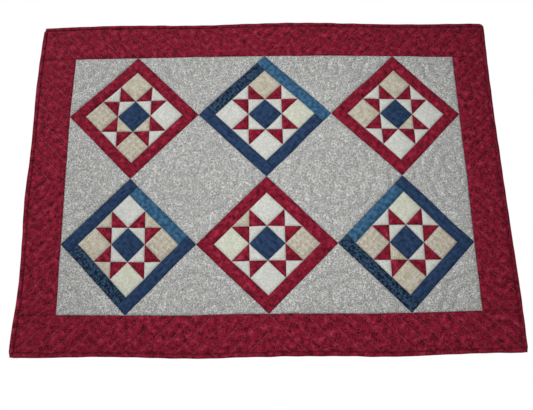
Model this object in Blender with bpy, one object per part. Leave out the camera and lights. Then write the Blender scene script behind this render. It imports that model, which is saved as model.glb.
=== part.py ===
"""Patchwork wall hanging of six framed star blocks, quilted, bordered and bound.

The cloth hangs straight down. X runs along it, Z up it, and the patched face looks
along -Y. The origin is the middle of the top edge, on the plane of the wall behind.
Everything is first laid out flat, as the pieces are sewn, in a plan with U across and
V up from the middle of the cloth. Then the plan is hung: its edges bow and ripple,
and the whole cloth waves a little away from the wall. Sizes are in metres.
"""

import math
from itertools import product

import bpy
from mathutils import Matrix, Vector
from mathutils.geometry import delaunay_2d_cdt

for thing in list(bpy.data.objects):
    bpy.data.objects.remove(thing)

# The star block: a grid of three by three squares inside a frame of four strips
INCH = 0.0254
SQUARE = 2 * INCH
STRIP = 1 * INCH
STAR = 3 * SQUARE
BLOCK = STAR + 2 * STRIP
TIP = BLOCK * math.sqrt(2)  # a block stands on its point, and this is tip to tip

# The middle of the cloth: blocks tip to tip, three across and two down
COLUMNS, ROWS = 3, 2
MIDDLE_U = COLUMNS * TIP / 2
MIDDLE_V = ROWS * TIP / 2

# Borders and the binding round the raw edge
SIDE_BORDER = 0.071
END_BORDER = 0.075
BINDING = 0.009
EDGE_U = MIDDLE_U + SIDE_BORDER
EDGE_V = MIDDLE_V + END_BORDER
HALF_U = EDGE_U + BINDING
HALF_V = EDGE_V + BINDING

# Thickness: stitched flat on each line, puffed up between the lines
GAP = 0.0003
THIN = 0.0024
PUFFED = 0.0052
FULL_PUFF_AT = 0.0115
BINDING_THICK = 0.0046
BINDING_LIP = 0.0018
BINDING_CREST = 0.45
BINDING_ROWS = (0.22, 0.5, 0.8)
SEAM_STEP = TIP / 8

# Quilting lines of the border run at 45 degrees and meet its inner seam at each step
BORDER_STEP = TIP / 8
RUNS_A_STEP = 4
SHORTEST_RUN = 0.006
LINE_AT = (0.0, 0.5, 1.0)
PUFF_AT = (0.12, 0.5, 0.88)

# The quilted flower in the grey cloth: petals, two scalloped rings, an arc at each tip
PETALS = 8
PETAL_LENGTH = 0.050
PETAL_CURL = math.radians(13)
SPOKE_AT = (0.15, 0.4, 0.7, 1.0)
RING_RADII = (0.053, 0.077)
SCALLOP = 0.0075
POINTS_A_SCALLOP = 4
TIP_ARC = 0.029
POINTS_ROUND_ARC = 24

# Loose points of the grey puffs, columns: distance from the flower's middle, half turns
GREY_PUFFS = (
    (0.024, 0.0),
    (0.043, 0.0),
    (0.066, 0.5),
    (0.069, 0.0),
    (0.094, 0.5),
    (0.094, 0.0),
    (0.126, 0.0),
)
CLEAR_OF_EDGE = 0.004
UNDER_STEP = 0.060
MERGE = 0.00001
STRIP_ROWS = (0.25, 0.5, 0.75)

# How the flat plan sits when hung: blocks spread a little, the top and bottom bow out
SPREAD = 0.0035
SPREAD_TURN = 0.370
CROWN = 0.0065
CROWN_REST = 0.45

# Columns: side in U, side in V, set outwards, ripple, its length, its crest, lean
EDGES = (
    (0, 1, 0.0000, 0.0018, 0.425, 0.494, 0.0006),
    (0, -1, -0.0012, 0.0011, 0.361, -0.112, 0.0017),
    (-1, 0, 0.0035, 0.0016, 0.296, -0.042, -0.0009),
    (1, 0, 0.0006, 0.0016, 0.620, 0.360, -0.0022),
)
# Columns: side in U, side in V, pulled in along X, pulled in along Z
CORNERS = (
    (-1, 1, 0.0050, 0.0008),
    (1, 1, 0.0028, 0.0034),
    (-1, -1, 0.0022, 0.0012),
    (1, -1, 0.0020, 0.0010),
)

# Waves off the wall, columns: depth, length, place of the crest, drift down the cloth
WAVES = (
    (0.0034, 0.470, 0.10, 0.15),
    (0.0016, 0.215, 0.35, -0.25),
)
WAVE_AT_TOP = 0.25

RED = (0.262, 0.009, 0.030, 1)
GREY = (0.440, 0.440, 0.425, 1)
NAVY = (0.014, 0.042, 0.127, 1)
SPOTTED_NAVY = (0.010, 0.040, 0.100, 1)
TEAL = (0.019, 0.125, 0.255, 1)
CREAM = (0.740, 0.730, 0.650, 1)

# Columns: place across, place down, frame colours NE, NW, SW, SE, the long pair
BLOCKS = (
    ("block_1", -1, 1, RED, RED, RED, RED, "ne_sw"),
    ("block_2", 0, 1, TEAL, SPOTTED_NAVY, NAVY, NAVY, "ne_sw"),
    ("block_3", 1, 1, RED, RED, RED, RED, "ne_sw"),
    ("block_4", -1, -1, TEAL, NAVY, SPOTTED_NAVY, NAVY, "nw_se"),
    ("block_5", 0, -1, RED, RED, RED, RED, "ne_sw"),
    ("block_6", 1, -1, NAVY, TEAL, SPOTTED_NAVY, NAVY, "ne_sw"),
)

# Columns: middle of the piece's flower across and up, in half blocks
GREY_PIECES = (
    ("grey_square_left", -1, 0),
    ("grey_square_right", 1, 0),
    ("grey_top_left", -1, 2),
    ("grey_top_right", 1, 2),
    ("grey_bottom_left", -1, -2),
    ("grey_bottom_right", 1, -2),
    ("grey_left", -3, 0),
    ("grey_right", 3, 0),
    ("grey_corner_top_left", -3, 2),
    ("grey_corner_top_right", 3, 2),
    ("grey_corner_bottom_left", -3, -2),
    ("grey_corner_bottom_right", 3, -2),
)
SIDES = (("top", 0, 1), ("bottom", 0, -1), ("left", -1, 0), ("right", 1, 0))


def clamp(value):
    return min(1.0, max(0.0, value))


def hung(u, v):
    """X and Z of a point of the plan, before the top edge is brought to zero."""
    x = u + SPREAD * math.sin(math.pi * u / SPREAD_TURN)
    z = v + CROWN * (math.cos(math.pi * u / (2 * HALF_U)) - CROWN_REST) * v / HALF_V
    for side_u, side_v, out, ripple, length, crest, lean in EDGES:
        along, across = (v, side_u * u) if side_u else (u, side_v * v)
        inner, outer = (MIDDLE_U, HALF_U) if side_u else (MIDDLE_V, HALF_V)
        share = clamp((across - inner) / (outer - inner)) ** 2
        wave = ripple * math.cos(2 * math.pi * (along - crest) / length)
        shift = share * (out + wave + lean * along / (HALF_V if side_u else HALF_U))
        x += side_u * shift
        z += side_v * shift
    for side_u, side_v, pull_x, pull_z in CORNERS:
        share = clamp((side_u * u - EDGE_U) / BINDING) * clamp((side_v * v - EDGE_V) / BINDING)
        x -= side_u * pull_x * share
        z -= side_v * pull_z * share
    return x, z


def off_wall(u, v):
    """Y of the back face: slow waves that start small at the top edge and grow."""
    down = clamp((HALF_V - v) / (2 * HALF_V))
    wave = sum(
        depth * (0.5 + 0.5 * math.sin(2 * math.pi * (u / length + crest + drift * down)))
        for depth, length, crest, drift in WAVES
    )
    return -wave * (WAVE_AT_TOP + (1 - WAVE_AT_TOP) * down)


TOP_Z = hung(0, HALF_V)[1]


def in_space(u, v, thickness):
    x, z = hung(u, v)
    return x, off_wall(u, v) - thickness, z - TOP_Z


def puff(distance):
    """Thickness at a distance from the nearest stitched line: steep, then round."""
    rise = math.sin(math.pi / 2 * clamp(distance / FULL_PUFF_AT)) ** 0.8
    return THIN + (PUFFED - THIN) * rise


def distance_to(point, path):
    """Distance from a point to a chain of straight runs."""
    best = math.inf
    for start, end in zip(path, path[1:]):
        run, away = end - start, point - start
        share = clamp(away.dot(run) / run.length_squared)
        best = min(best, (away - run * share).length)
    return best


def inset(corners, by):
    """The outline moved in by one distance all round, corners in order leftwards."""
    moved = []
    for before, here, after in zip(corners[-1:] + corners[:-1], corners, corners[1:] + corners[:1]):
        arrive, leave = (here - before).normalized(), (after - here).normalized()
        one, two = Vector((-arrive.y, arrive.x)), Vector((-leave.y, leave.x))
        moved.append(here + (one + two) * (by / (1 + one.dot(two))))
    return moved


def stepped(corners, step, by):
    """The outline moved in, with points along each side about one step apart."""
    points = []
    sides = zip(corners, corners[1:] + corners[:1], inset(corners, by))
    for start, end, corner in sides:
        count = max(1, round((end - start).length / step))
        way = (end - start).normalized()
        inwards = by * Vector((-way.y, way.x))
        points.append(corner)
        points += [start.lerp(end, i / count) + inwards for i in range(1, count)]
    return points


def trimmed(path, corners):
    """The runs of a path that lie inside an outline, cut exactly on its sides."""
    runs = []
    for start, end in zip(path, path[1:]):
        first, last = 0.0, 1.0
        for low, high in zip(corners, corners[1:] + corners[:1]):
            way = (high - low).normalized()
            here, there = way.cross(start - low), way.cross(end - low)
            if here < 0 and there < 0:
                last = -1.0
            elif here < 0:
                first = max(first, here / (here - there))
            elif there < 0:
                last = min(last, here / (here - there))
        if (last - first) * (end - start).length < 2 * GAP:
            continue
        run = [start.lerp(end, first), start.lerp(end, last)]
        if runs and (runs[-1][-1] - run[0]).length < GAP:
            runs[-1].append(run[1])
        else:
            runs.append(run)
    return runs


def split_at(loop, ends):
    """The loop with each end of a path that lies on it put in as a point of its own."""
    split = []
    for start, end in zip(loop, loop[1:] + loop[:1]):
        on_side = [
            point for point in ends
            if distance_to(point, [start, end]) < MERGE
            and min((point - start).length, (point - end).length) > MERGE
        ]
        split += [start] + sorted(on_side, key=lambda point: (point - start).length)
    return split


def triangulated(loop, paths, loose):
    """Triangles over a closed loop, with an edge along each path and its loose points."""
    points, edges = [], set()

    def number(point):
        """The place of a point in the list, where one that is there already is used again."""
        for i, other in enumerate(points):
            if (other - point).length < MERGE:
                return i
        points.append(point)
        return len(points) - 1

    for path in [loop + loop[:1], *paths]:
        places = [number(point) for point in path]
        edges |= {tuple(sorted(pair)) for pair in zip(places, places[1:]) if pair[0] != pair[1]}
    for point in loose:
        number(point)
    found, _, faces, _, _, _ = delaunay_2d_cdt(points, sorted(edges), [], 1, MERGE)
    return found, faces


def rim_of(faces):
    """The outer loop of a set of triangles, in order."""
    sides = {(face[i], face[(i + 1) % 3]) for face in faces for i in range(3)}
    after = {a: b for a, b in sides if (b, a) not in sides}
    loop = [min(after)]
    while after[loop[-1]] != loop[0]:
        loop.append(after[loop[-1]])
    return loop


def fabric(name, colour):
    material = bpy.data.materials.new(name)
    material.use_nodes = True
    shader = material.node_tree.nodes["Principled BSDF"]
    shader.inputs["Base Color"].default_value = colour
    shader.inputs["Roughness"].default_value = 0.9
    shader.inputs["Metallic"].default_value = 0.0
    material.diffuse_color = colour
    return material


def inside_by(point, corners):
    """How far a point lies inside an outline; less than zero outside it."""
    sides = zip(corners, corners[1:] + corners[:1])
    return min((end - start).normalized().cross(point - start) for start, end in sides)


def spread_under(corners):
    """A few loose points for a back face, so that it follows the waves of the cloth."""
    low = [min(c[i] for c in corners) for i in range(2)]
    high = [max(c[i] for c in corners) for i in range(2)]
    count = [max(1, round((high[i] - low[i]) / UNDER_STEP)) for i in range(2)]
    spread = [
        Vector([low[i] + (high[i] - low[i]) * (k[i] + 0.5) / count[i] for i in range(2)])
        for k in product(range(count[0]), range(count[1]))
    ]
    return [point for point in spread if inside_by(point, corners) > 2 * CLEAR_OF_EDGE]


def outline_between(one, two):
    """The four corners of the rectangle between two opposite ones, in order leftwards."""
    low = Vector((min(one.x, two.x), min(one.y, two.y)))
    high = Vector((max(one.x, two.x), max(one.y, two.y)))
    return [low, Vector((high.x, low.y)), high, Vector((low.x, high.y))]


def panel(name, corners, colour, thickness, paths, loose, step=SEAM_STEP):
    """One sewn piece as a closed solid: quilted front, plain back and a rim between."""
    edge = inset(corners, GAP / 2)
    loose = [point for point in loose if inside_by(point, corners) > CLEAR_OF_EDGE]
    kept = [run for path in paths for run in trimmed(path, edge)]
    ends = [point for run in kept for point in (run[0], run[-1])]
    outline = split_at(stepped(corners, step, GAP / 2), ends)
    front, front_faces = triangulated(outline, kept, loose)
    rim = rim_of(front_faces)
    rim_points = [front[i] for i in rim]
    back, back_faces = triangulated(rim_points, (), spread_under(corners))
    behind = [min(range(len(back)), key=lambda i: (back[i] - point).length) for point in rim_points]

    points = [in_space(*point, thickness(point)) for point in front]
    points += [in_space(*point, 0.0) for point in back]
    first = len(front)
    faces = list(front_faces)
    faces += [tuple(first + i for i in reversed(face)) for face in back_faces]
    for k, here in enumerate(rim):
        before, under, under_before = rim[k - 1], first + behind[k], first + behind[k - 1]
        faces += [(here, before, under_before), (here, under_before, under)]

    mesh = bpy.data.meshes.new(name)
    mesh.from_pydata(points, [], faces)
    mesh.materials.append(fabric(name, colour))
    made = bpy.data.objects.new(name, mesh)
    bpy.context.scene.collection.objects.link(made)
    return made


# Borders: slanted lines fan out of each quarter and meet in points on the middle lines
def border_strip(name, side_u, side_v):
    if side_v:
        inner, outer, end = MIDDLE_V, EDGE_V, EDGE_U
    else:
        inner, outer, end = MIDDLE_U, EDGE_U, MIDDLE_V

    def place(along, across):
        return Vector((along, side_v * across) if side_v else (side_u * across, along))

    def thickness(point):
        along, across = (abs(point.x), abs(point.y)) if side_v else (abs(point.y), abs(point.x))
        turn = (along - across) / BORDER_STEP
        line = abs(turn - round(turn)) * BORDER_STEP / math.sqrt(2)
        return puff(min(line, across - inner, outer - across, end - along))

    # Every fourth run is a stitched line, and those between carry the puff's shape
    paths, loose = [], []
    most = math.ceil((end + outer) / BORDER_STEP) * RUNS_A_STEP
    for quarter, mirror in product(range(-most, most + 1), (-1, 1)):
        offset = quarter / RUNS_A_STEP * BORDER_STEP
        first, last = max(inner, -offset), min(outer, end - offset)
        if last - first < SHORTEST_RUN:
            continue
        stitched = quarter % RUNS_A_STEP == 0
        steps = [first + (last - first) * share for share in (LINE_AT if stitched else PUFF_AT)]
        run = [place(mirror * (across + offset), across) for across in steps]
        if stitched:
            paths.append(run)
        else:
            loose += run
    corners = outline_between(place(-end, inner), place(end, outer))
    return panel(name, corners, RED, thickness, paths, loose, step=2 * end)


# Binding: a narrow folded strip on each side, mitred at the corners
def binding_strip(name, side_u, side_v):
    inner, end = (EDGE_V, EDGE_U) if side_v else (EDGE_U, EDGE_V)

    def place(along, across):
        return Vector((along, side_v * across) if side_v else (side_u * across, along))

    def thickness(point):
        share = clamp(max(abs(point.x) - EDGE_U, abs(point.y) - EDGE_V) / BINDING)
        rise = math.sin(math.pi / 2 * min(1.0, share / BINDING_CREST))
        fall = clamp((share - BINDING_CREST) / (1 - BINDING_CREST)) ** 2
        return THIN + (BINDING_THICK - THIN) * rise - (BINDING_THICK - BINDING_LIP) * fall

    far, outer = end + BINDING, inner + BINDING
    corners = [place(*c) for c in ((-end, inner), (end, inner), (far, outer), (end, outer),
                                   (-end, outer), (-far, outer))]
    if side_v < 0 or side_u > 0:
        corners = corners[:1] + corners[:0:-1]
    paths = []
    count = round(2 * end / SEAM_STEP)
    for share in BINDING_ROWS:
        reach = end + share * BINDING
        row = [reach * (2 * i / count - 1) for i in range(count + 1)]
        paths.append([place(along, inner + share * BINDING) for along in row])
    return panel(name, corners, RED, thickness, paths, [])


# Grey cloth: a flower inside two scalloped rings, stitched on each piece
def flower(centre):
    """The stitched paths of one flower: curled spokes, then the two scalloped rings."""
    paths = []
    for petal in range(PETALS):
        base = 2 * math.pi * (petal + 0.5) / PETALS
        curl = [(share, base + PETAL_CURL * math.sin(math.pi * share)) for share in SPOKE_AT]
        paths.append([polar(centre, PETAL_LENGTH * share, angle) for share, angle in curl])
    count = PETALS * POINTS_A_SCALLOP
    for radius in RING_RADII:
        ring = []
        for i in range(count + 1):
            swell = SCALLOP * abs(math.cos(math.pi * i / POINTS_A_SCALLOP))
            ring.append(polar(centre, radius + swell, 2 * math.pi * i / count))
        paths.append(ring)
    return paths


def polar(centre, radius, angle):
    return centre + radius * Vector((math.cos(angle), math.sin(angle)))


def grey_piece(name, centre):
    """A square on point, or the half or quarter of it that the middle of the cloth has."""
    tips = [polar(centre, TIP / 2, math.pi / 2 * turn) for turn in range(4)]
    tips = [t if abs(t.x) < MIDDLE_U + GAP and abs(t.y) < MIDDLE_V + GAP else centre for t in tips]
    corners = [tip for k, tip in enumerate(tips) if tip != tips[k - 1]]
    paths = flower(centre)
    for tip in corners:
        if tip != centre:
            turns = [2 * math.pi * i / POINTS_ROUND_ARC for i in range(POINTS_ROUND_ARC + 1)]
            paths.append([polar(tip, TIP_ARC, turn) for turn in turns])
    lines = paths + [corners + corners[:1]]

    def thickness(point):
        return puff(min(distance_to(point, line) for line in lines))

    loose = [
        polar(centre, radius, 2 * math.pi * (petal + half_turns) / PETALS)
        for radius, half_turns in GREY_PUFFS
        for petal in range(PETALS)
    ]
    return panel(name, corners, GREY, thickness, paths, loose)


# Blocks: the nine squares of a star as one quilted piece, and the four strips round it
def square_round(half):
    return [(-half, -half), (half, -half), (half, half), (-half, half)]


def points_across(reach):
    return [(reach, 0), (0, reach), (-reach, 0), (0, -reach)]


def star(name, at):
    side, end = SQUARE / 2, STAR / 2 - GAP / 2
    stops = [-end, *(side * k for k in range(-2, 3)), end]
    paths = [[at(row, stop) for stop in stops] for row in (-side, side)]
    paths += [[at(stop, row) for stop in stops] for row in (-side, side)]
    for turn, lean in product(range(4), (-1, 1)):
        way = Matrix.Rotation(turn * math.pi / 2, 2)
        start, finish = Vector((side, -lean * side)), Vector((end, lean * side))
        paths.append([at(*(way @ start.lerp(finish, share))) for share in (0, 0.5, 1)])
    corners = [at(a, b) for a, b in square_round(STAR / 2)]
    lines = paths + [corners + corners[:1]]

    def thickness(point):
        return puff(min(distance_to(point, line) for line in lines))

    # Whole squares puff up in one round, pieced ones in each of their four triangles
    loose = []
    for a, b in product((-SQUARE, 0, SQUARE), repeat=2):
        whole = (a == 0) == (b == 0)
        spots = [(0, 0)] + square_round(SQUARE / 4) if whole else points_across(SQUARE / 3)
        loose += [at(a + da, b + db) for da, db in spots]
    return panel(name, corners, CREAM, thickness, paths, loose, step=side)


def frame_strip(name, at, low, high, colour):
    """A narrow strip of a frame, from one corner to the opposite one in block sizes."""
    corners = [at(*corner) for corner in outline_between(Vector(low), Vector(high))]

    def thickness(point):
        return puff(inside_by(point, corners))

    across, along = (corners[1] - corners[0], corners[3] - corners[0])
    if across.length > along.length:
        across, along = along, across
    count = round(along.length / STRIP)
    loose = [
        corners[0] + across * row + along * (i + 0.5) / count
        for row in STRIP_ROWS
        for i in range(count)
    ]
    return panel(name, corners, colour, thickness, [], loose, step=STRIP)


def block(name, centre, colours, long_pair):
    def at(a, b):
        """A place in the block, with A to the upper right and B to the upper left."""
        return centre + Vector((a - b, a + b)) / math.sqrt(2)

    star(f"{name}_star", at)
    inner, outer = STAR / 2, BLOCK / 2
    turns = (("ne", 1, 0), ("nw", 0, 1), ("sw", -1, 0), ("se", 0, -1))
    for (side, to_a, to_b), colour in zip(turns, colours):
        reach = outer if side in long_pair else inner
        low = (to_a * inner or -reach, to_b * inner or -reach)
        high = (to_a * outer or reach, to_b * outer or reach)
        frame_strip(f"{name}_frame_{side}", at, low, high, colour)


for name, across, up, *colours, long_pair in BLOCKS:
    block(name, Vector((across * TIP, up * TIP / 2)), colours, long_pair)

for name, across, up in GREY_PIECES:
    grey_piece(name, Vector((across * TIP / 2, up * TIP / 2)))

for side, side_u, side_v in SIDES:
    border_strip(f"border_{side}", side_u, side_v)
    binding_strip(f"binding_{side}", side_u, side_v)
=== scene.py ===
"""A patchwork wall hanging: six star blocks set on point in grey cloth, bordered and bound in red.

The cloth hangs with its patched face towards -Y. Sizes are in metres. The pieces are worked
out on a flat plan, with U across and V up from the middle of the cloth, and are then hung.
"""

import math
from itertools import product

import bpy
import numpy as np
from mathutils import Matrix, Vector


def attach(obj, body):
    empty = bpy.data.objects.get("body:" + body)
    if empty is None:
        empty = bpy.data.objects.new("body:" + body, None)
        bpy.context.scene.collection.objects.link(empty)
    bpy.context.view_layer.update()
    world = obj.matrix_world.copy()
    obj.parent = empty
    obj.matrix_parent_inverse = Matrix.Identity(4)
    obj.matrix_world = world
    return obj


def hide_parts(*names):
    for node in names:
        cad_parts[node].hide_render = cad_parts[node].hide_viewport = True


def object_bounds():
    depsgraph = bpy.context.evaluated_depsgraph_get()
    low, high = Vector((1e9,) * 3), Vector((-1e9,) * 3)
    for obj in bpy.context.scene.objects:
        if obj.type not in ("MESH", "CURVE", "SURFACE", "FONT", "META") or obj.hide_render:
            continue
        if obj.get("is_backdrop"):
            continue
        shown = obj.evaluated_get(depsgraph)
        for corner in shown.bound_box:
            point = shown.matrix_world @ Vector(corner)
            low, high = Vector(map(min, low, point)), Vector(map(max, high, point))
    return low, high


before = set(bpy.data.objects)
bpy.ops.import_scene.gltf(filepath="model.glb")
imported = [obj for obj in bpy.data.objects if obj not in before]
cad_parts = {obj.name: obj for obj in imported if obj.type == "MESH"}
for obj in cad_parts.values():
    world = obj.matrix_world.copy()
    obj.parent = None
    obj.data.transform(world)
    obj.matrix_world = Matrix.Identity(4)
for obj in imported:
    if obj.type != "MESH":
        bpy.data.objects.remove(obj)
cad_low, cad_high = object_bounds()

# Camera: it stands low in front of the cloth and looks up at it, square on from left to
# right, with a very slight lean to one side.
LENS = 39.85
SENSOR = 36.0
camera_data = bpy.data.cameras.new("camera")
camera_data.lens = LENS
camera_data.sensor_width = SENSOR
camera = bpy.data.objects.new("camera", camera_data)
camera.location = (-0.0078, -1.2065, -0.7765)
camera.rotation_euler = [math.radians(turn) for turn in (105.751, 0.695, -0.139)]
bpy.context.scene.collection.objects.link(camera)
bpy.context.scene.camera = camera

# Studio: a white room with one wide soft light above and to the left, a weaker one in front
# and one behind, over a plain pale floor well below the cloth. The floor glows to the camera
# alone, so that it stays pale where no lamp reaches it and throws no light on the cloth.
FLOOR_Z = -1.25
FLOOR_RADIUS = 3.0
FLOOR_GLOW = 0.35
ROOM_LIGHT = 0.14
STUDIO_LIGHTS = (
    # name, place, size, power
    ("key_light", (-1.6, -0.95, 1.0), 0.8, 18.0),
    ("front_light", (0.04, -0.85, -0.37), 0.5, 3.3),
    ("back_light", (0.9, 1.6, 0.9), 0.9, 42.0),
)


def feed(tree, socket, value):
    """A socket linked to another one, or set to a value, or left alone."""
    if isinstance(value, bpy.types.NodeSocket):
        tree.links.new(value, socket)
    elif value is not None:
        socket.default_value = value


def add(tree, kind, *inputs, **settings):
    """A shader node with its settings, whose first inputs are fed in order."""
    node = tree.nodes.new(kind)
    for name, value in settings.items():
        setattr(node, name, value)
    for socket, value in zip(node.inputs, inputs):
        feed(tree, socket, value)
    return node


world = bpy.data.worlds.new("studio")
world.use_nodes = True
room = world.node_tree
room.nodes.clear()
seen = add(room, "ShaderNodeLightPath").outputs["Is Camera Ray"]
light = add(room, "ShaderNodeBackground", (0.96, 0.98, 1.0, 1.0), ROOM_LIGHT).outputs[0]
white = add(room, "ShaderNodeBackground", (1.0, 1.0, 1.0, 1.0), 1.0).outputs[0]
add(room, "ShaderNodeOutputWorld", add(room, "ShaderNodeMixShader", seen, light, white).outputs[0])
bpy.context.scene.world = world
bpy.context.scene.view_settings.view_transform = "Standard"

MIDDLE_Z = (cad_low.z + cad_high.z) / 2
for name, place, size, power in STUDIO_LIGHTS:
    lamp_data = bpy.data.lights.new(name, "AREA")
    lamp_data.shape = "DISK"
    lamp_data.size = size
    lamp_data.energy = power
    lamp = bpy.data.objects.new(name, lamp_data)
    lamp.location = place
    away = np.array(place) - (0, 0, MIDDLE_Z)
    lamp.rotation_euler = (math.atan2(np.hypot(*away[:2]), away[2]), 0, math.atan2(away[0], -away[1]))
    lamp.visible_camera = False
    bpy.context.scene.collection.objects.link(lamp)

turns = np.linspace(0, 2 * math.pi, 64, endpoint=False)
rim = np.stack([FLOOR_RADIUS * np.cos(turns), FLOOR_RADIUS * np.sin(turns), 0 * turns + FLOOR_Z], -1)
floor_mesh = bpy.data.meshes.new("floor")
floor_mesh.from_pydata(rim.tolist(), [], [list(range(len(rim)))])
floor = bpy.data.objects.new("floor", floor_mesh)
bpy.context.scene.collection.objects.link(floor)
floor_finish = bpy.data.materials.new("pale floor")
floor_finish.use_nodes = True
floor_shader = floor_finish.node_tree.nodes["Principled BSDF"]
floor_shader.inputs["Base Color"].default_value = (0.8, 0.8, 0.79, 1)
floor_shader.inputs["Roughness"].default_value = 0.7
floor_shader.inputs["Emission Color"].default_value = (1.0, 1.0, 1.0, 1)
seen = add(floor_finish.node_tree, "ShaderNodeLightPath").outputs["Is Camera Ray"]
glow = add(floor_finish.node_tree, "ShaderNodeMath", seen, FLOOR_GLOW, operation="MULTIPLY").outputs[0]
floor_finish.node_tree.links.new(glow, floor_shader.inputs["Emission Strength"])
floor_mesh.materials.append(floor_finish)
floor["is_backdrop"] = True

# Stars: each is nine small squares of quilting cotton sewn into one. Four are cut in
# quarters and pieced from red and pale triangles, so that their points ring a navy square.
INCH = 0.0254
SQUARE = 2 * INCH
STRIP = 1 * INCH
STAR = 3 * SQUARE
BLOCK = STAR + 2 * STRIP
TIP = BLOCK * math.sqrt(2)
MIDDLE_U, MIDDLE_V = 1.5 * TIP, TIP
SIDE_BORDER, END_BORDER, BINDING = 0.071, 0.075, 0.009
EDGE_U, EDGE_V = MIDDLE_U + SIDE_BORDER, MIDDLE_V + END_BORDER
HALF_U, HALF_V = EDGE_U + BINDING, EDGE_V + BINDING

# The hang: how far the blocks spread, the top and bottom bow and the whole cloth waves
SPREAD, SPREAD_TURN = 0.0035, 0.370
CROWN, CROWN_REST = 0.0065, 0.45
EDGES = (
    # side in U, side in V, set outwards, ripple, its length, its crest, lean
    (0, 1, 0.0000, 0.0018, 0.425, 0.494, 0.0006),
    (0, -1, -0.0012, 0.0011, 0.361, -0.112, 0.0017),
    (-1, 0, 0.0035, 0.0016, 0.296, -0.042, -0.0009),
    (1, 0, 0.0006, 0.0016, 0.620, 0.360, -0.0022),
)
CORNERS = (
    # side in U, side in V, pulled in along X, pulled in along Z
    (-1, 1, 0.0050, 0.0008),
    (1, 1, 0.0028, 0.0034),
    (-1, -1, 0.0022, 0.0012),
    (1, -1, 0.0020, 0.0010),
)
WAVES = (
    # depth, length, place of the crest, drift down the cloth
    (0.0034, 0.470, 0.10, 0.15),
    (0.0016, 0.215, 0.35, -0.25),
)
WAVE_AT_TOP = 0.25

# Thickness: drawn down in each seam and stitched line, puffed up by the wadding between
THIN, PUFFED, FULL_PUFF_AT = 0.0024, 0.0049, 0.0120
SEAM_DIP, SEAM_ROLL = 0.0008, 0.0007
GAP = 0.00008
UNDER = 0.0010
GRID_STEP = 0.0022


def hung(u, v):
    """X and Z of plan points: spread, then bowed, then rippled near each outer edge."""
    x = u + SPREAD * np.sin(np.pi * u / SPREAD_TURN)
    z = v + CROWN * (np.cos(np.pi * u / (2 * HALF_U)) - CROWN_REST) * v / HALF_V
    for side_u, side_v, out, ripple, length, crest, lean in EDGES:
        along, across = (v, side_u * u) if side_u else (u, side_v * v)
        inner, outer = (MIDDLE_U, HALF_U) if side_u else (MIDDLE_V, HALF_V)
        share = np.clip((across - inner) / (outer - inner), 0, 1) ** 2
        wave = ripple * np.cos(2 * np.pi * (along - crest) / length)
        shift = share * (out + wave + lean * along / (HALF_V if side_u else HALF_U))
        x = x + side_u * shift
        z = z + side_v * shift
    for side_u, side_v, pull_x, pull_z in CORNERS:
        share = np.clip((side_u * u - EDGE_U) / BINDING, 0, 1)
        share = share * np.clip((side_v * v - EDGE_V) / BINDING, 0, 1)
        x = x - side_u * pull_x * share
        z = z - side_v * pull_z * share
    return x, z


def off_wall(u, v):
    """Y of the back face: slow waves that start small at the top edge and grow."""
    down = np.clip((HALF_V - v) / (2 * HALF_V), 0, 1)
    wave = sum(
        depth * (0.5 + 0.5 * np.sin(2 * np.pi * (u / length + crest + drift * down)))
        for depth, length, crest, drift in WAVES
    )
    return -wave * (WAVE_AT_TOP + (1 - WAVE_AT_TOP) * down)


TOP_Z = float(hung(0.0, HALF_V)[1])

# Sewing: the seams don't meet quite where they would on a true plan
OUT_OF_TRUE = (
    # junction in half blocks across and up, millimetres drawn across and up
    (-3.5, 2.6, 0.4, 2.0),
    (0.0, 2.6, 0.0, 1.2),
    (3.5, 2.6, 0.2, 0.4),
    (-3, 2, -0.6, 0.7),
    (-2, 2, 1.7, 1.2),
    (0, 2, -1.1, 1.9),
    (2, 2, 1.3, 1.3),
    (3, 2, -1.9, -1.3),
    (-3, 1, -3.0, 1.9),
    (-1, 1, -1.2, 3.6),
    (1, 1, -1.5, 3.6),
    (3, 1, 0.0, 0.0),
    (-3.5, 0, -1.4, 0.0),
    (-2, 0, -2.8, 0.6),
    (0, 0, 0.0, 2.2),
    (2, 0, 3.0, 2.0),
    (3.5, 0, 1.8, 0.0),
    (-3, -1, 0.6, 1.4),
    (-1, -1, -1.0, 0.0),
    (1, -1, 0.5, -0.5),
    (3, -1, 1.7, -3.0),
    (-3, -2, 3.4, -0.5),
    (-2, -2, 1.1, -0.5),
    (0, -2, 1.0, 0.8),
    (2, -2, 0.8, -2.2),
    (3, -2, 2.6, -1.6),
    (-3.5, -2.6, -0.8, -3.0),
    (-1.5, -2.6, 0.0, -1.8),
    (0.5, -2.6, 0.0, -0.6),
    (3.5, -2.6, 2.6, -3.0),
)
MILLIMETRE = 0.001
DRAWN_REACH = 0.55 * TIP / 2
NO_WEIGHT = 1e-9
WOBBLE, WOBBLE_LENGTH = 0.0005, 0.080
HILL_WAVES, HILL_LENGTHS = 6, (0.7, 1.6)


def hills(u, v, length, seed):
    """Soft uneven hills from -1 to 1: crossing sine waves of seeded directions, added up."""
    draw = np.random.default_rng(seed)
    total = np.zeros(np.shape(u))
    for _ in range(HILL_WAVES):
        heading, phase = draw.uniform(0, 2 * np.pi, 2)
        reach = length * draw.uniform(*HILL_LENGTHS)
        total += np.sin(2 * np.pi * (u * np.cos(heading) + v * np.sin(heading)) / reach + phase)
    return total / HILL_WAVES


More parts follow.
